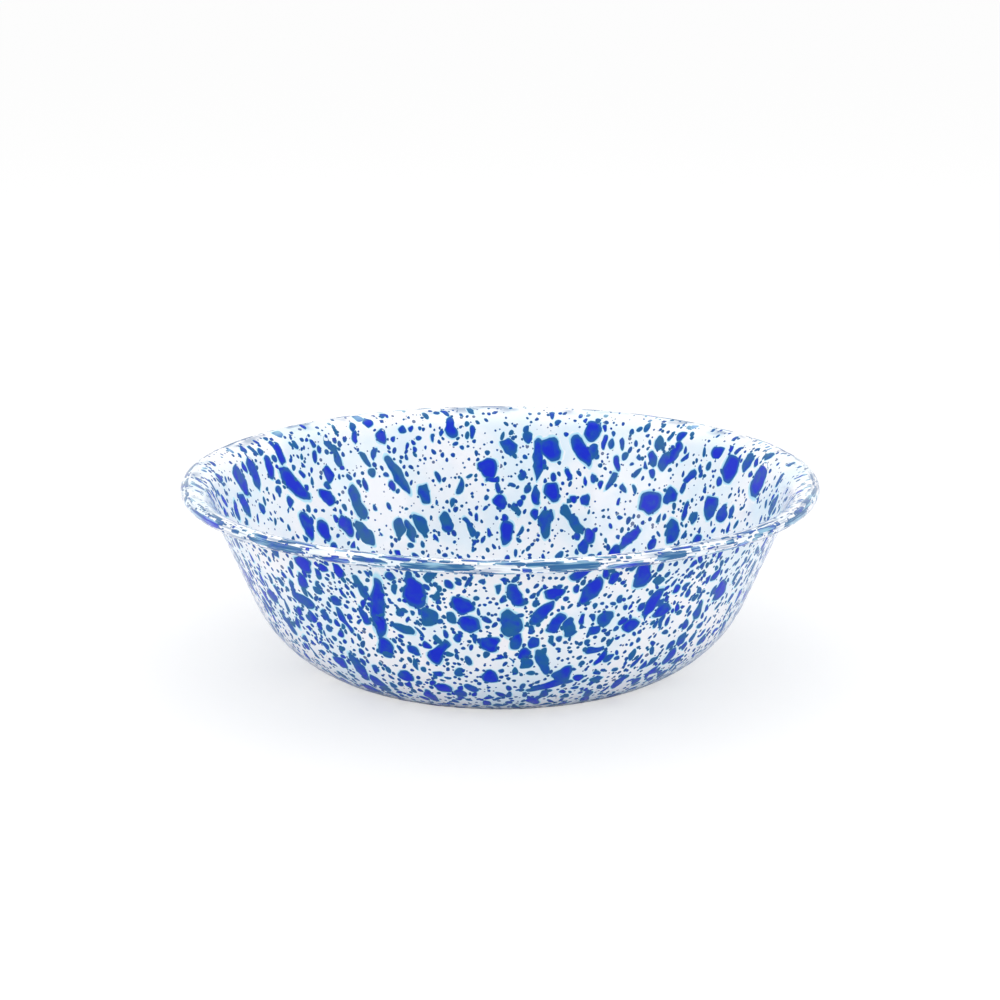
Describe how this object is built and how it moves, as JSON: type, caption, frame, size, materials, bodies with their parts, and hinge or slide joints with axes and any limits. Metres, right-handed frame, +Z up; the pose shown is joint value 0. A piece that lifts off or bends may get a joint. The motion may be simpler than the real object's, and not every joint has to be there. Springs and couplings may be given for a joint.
{
  "type": "enamel basin bowl",
  "caption": "Shallow round sheet-steel basin with a rolled rim, white glass enamel inside and out, and blue splatter fused over it.",
  "frame": {"origin": "centre of the flat ring that the basin stands on, in the plane of the table", "axes": "+Z up along the basin's axis of revolution; +X to the right and -Y towards the viewer in the pictured view"},
  "size_m": [0.3049, 0.305, 0.09],
  "materials": {
    "steel": "drawn sheet steel, covered all over by enamel",
    "ground_enamel": "dark blue bonding enamel, hidden",
    "white_enamel": "glossy white glass enamel",
    "blue_enamel": "glossy cobalt blue glass enamel drops, thinner and greener at their edges"
  },
  "bodies": {
    "root": {"steel_shell": "steel", "inner_ground_coat": "ground_enamel", "outer_ground_coat": "ground_enamel", "inner_white_coat": "white_enamel", "outer_white_coat": "white_enamel", "inner_splatter": "blue_enamel", "outer_splatter": "blue_enamel", "rim_splatter": "blue_enamel"}
  },
  "joints": []
}
